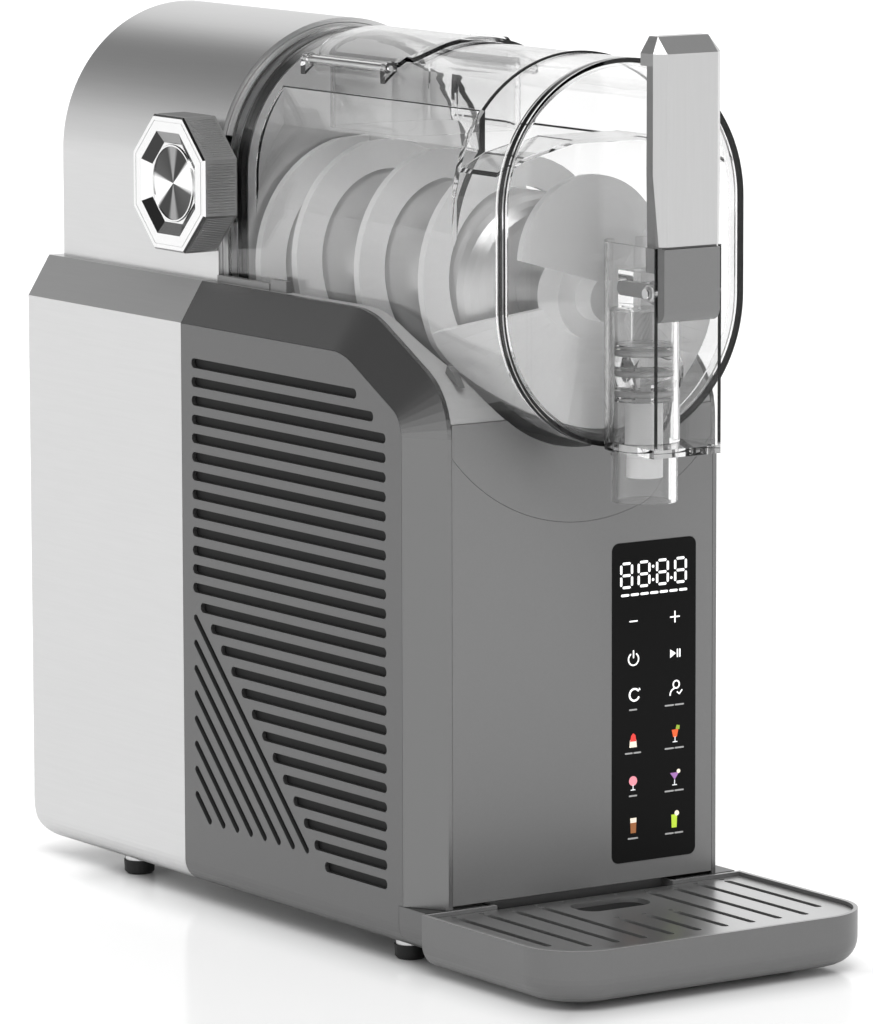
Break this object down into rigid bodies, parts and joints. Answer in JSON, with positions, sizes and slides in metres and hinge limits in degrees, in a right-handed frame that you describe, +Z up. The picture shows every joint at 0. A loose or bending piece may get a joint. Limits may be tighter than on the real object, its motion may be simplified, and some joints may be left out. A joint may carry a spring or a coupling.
{
  "type": "countertop slush machine",
  "caption": "Countertop frozen-drink machine: clear pull-off vessel over a chilled drum and auger, lever tap, touch panel, drip tray and side vents.",
  "frame": {"origin": "on the table under the middle of the machine's bounding box", "axes": "+Z up; -Y towards the tap and drip tray; +Y towards the back; -X towards the lock knob"},
  "size_m": [0.1952, 0.5042, 0.4665],
  "materials": {
    "silver_paint": "satin silver paint",
    "grey_body": "satin grey metallic paint",
    "dark_bevel": "satin dark grey paint",
    "grey_plastic": "fine matte",
    "tray_plastic": "fine matte",
    "black_panel": "gloss black",
    "black_rubber": "matte",
    "clear_plastic": "clear tritan plastic",
    "white_plastic": "satin moulded",
    "dark_plastic": "matte moulded",
    "lever_grey": "satin moulded",
    "silicone": "translucent silicone",
    "grate_metal": "glossy dark metallic",
    "drum_steel": "fine brushed",
    "steel": "machined",
    "knob_metal": "spun, satin",
    "copper": "drawn copper tube",
    "fin_aluminium": "plain",
    "black_steel": "gloss black",
    "board": "solder mask"
  },
  "bodies": {
    "body": {"base_pan": "steel", "feet": "black_rubber", "left_side_panel": "grey_body", "right_side_panel": "grey_body", "left_bevel": "dark_bevel", "right_bevel": "dark_bevel", "front_skirt": "grey_body", "fascia": "grey_plastic", "deck_rails": "grey_plastic", "slope_guides": "grey_plastic", "cradle_collar": "grey_plastic", "drum_cradle": "grey_plastic", "rear_cover": "silver_paint", "back_panel": "silver_paint", "power_inlet": "black_panel", "upper_housing": "silver_paint", "bulkhead": "drum_steel", "touch_panel": "black_panel", "display_module": "dark_plastic", "control_board": "board", "power_board": "board", "compressor": "black_steel", "compressor_mounts": "black_rubber", "condenser_core": "fin_aluminium", "condenser_tubes": "copper", "fan_shroud": "dark_plastic", "fan_motor": "dark_plastic", "suction_line": "copper", "discharge_line": "copper", "liquid_line": "copper", "gearbox": "dark_plastic", "drive_motor": "steel", "shaft_seal": "black_rubber", "evaporator_drum": "drum_steel", "vessel_seal": "black_rubber", "panel_screws": "steel"},
    "fan": {"fan_rotor": "white_plastic"},
    "drive": {"drive_shaft": "steel", "auger": "white_plastic"},
    "vessel_assembly": {"vessel": "clear_plastic", "front_gasket": "black_rubber", "front_cap": "clear_plastic", "tap_housing": "clear_plastic", "spout": "clear_plastic", "pivot_pin": "steel", "lid_hinge_rod": "steel", "lever_spring": "steel"},
    "lid_body": {"lid": "clear_plastic"},
    "lever": {"tap_lever": "lever_grey", "lever_cover": "silver_paint"},
    "plunger_body": {"plunger": "clear_plastic", "plunger_tip": "white_plastic", "o_rings": "silicone"},
    "knob": {"lock_knob": "knob_metal", "knob_disc": "knob_metal", "lock_shaft": "steel", "lock_cam": "dark_plastic"},
    "tray": {"drip_tray": "tray_plastic", "tray_foot": "black_rubber"},
    "grate": {"drip_grate": "grate_metal"}
  },
  "joints": [
    {"name": "knob_turn", "type": "hinge", "parent": "body", "child": "knob", "pos_m": [-0.087, 0.1034, 0.3751], "axis": [1, 0, 0], "range_deg": [0, 90]},
    {"name": "auger_spin", "type": "hinge", "parent": "body", "child": "drive", "pos_m": [0, 0.0015, 0.333], "axis": [0, 1, 0], "continuous": true},
    {"name": "fan_spin", "type": "hinge", "parent": "body", "child": "fan", "pos_m": [-0.045, -0.0035, 0.118], "axis": [1, 0, 0], "continuous": true},
    {"name": "vessel_pull_off", "type": "slide", "parent": "body", "child": "vessel_assembly", "axis": [0, -1, 0], "range_m": [0, 0.245]},
    {"name": "lid_open", "type": "hinge", "parent": "vessel_assembly", "child": "lid_body", "pos_m": [-0.046, 0.0105, 0.4406], "axis": [0, -1, 0], "range_deg": [0, 100]},
    {"name": "lever_pull", "type": "hinge", "parent": "vessel_assembly", "child": "lever", "pos_m": [0, -0.211, 0.342], "axis": [1, 0, 0], "range_deg": [0, 30], "stiffness_Nm_per_rad": 0.8, "springref_deg": -20.05},
    {"name": "plunger_lift", "type": "slide", "parent": "vessel_assembly", "child": "plunger_body", "axis": [0, 0, 1], "range_m": [0, 0.0146]},
    {"name": "tray_pull_out", "type": "slide", "parent": "body", "child": "tray", "axis": [0, -1, 0], "range_m": [0, 0.14]},
    {"name": "grate_lift", "type": "slide", "parent": "tray", "child": "grate", "axis": [0, 0, 1], "range_m": [0, 0.04]}
  ],
  "couplings": [
    {"joint": "plunger_lift", "follows": "lever_pull", "m_per_rad": 0.0277}
  ]
}
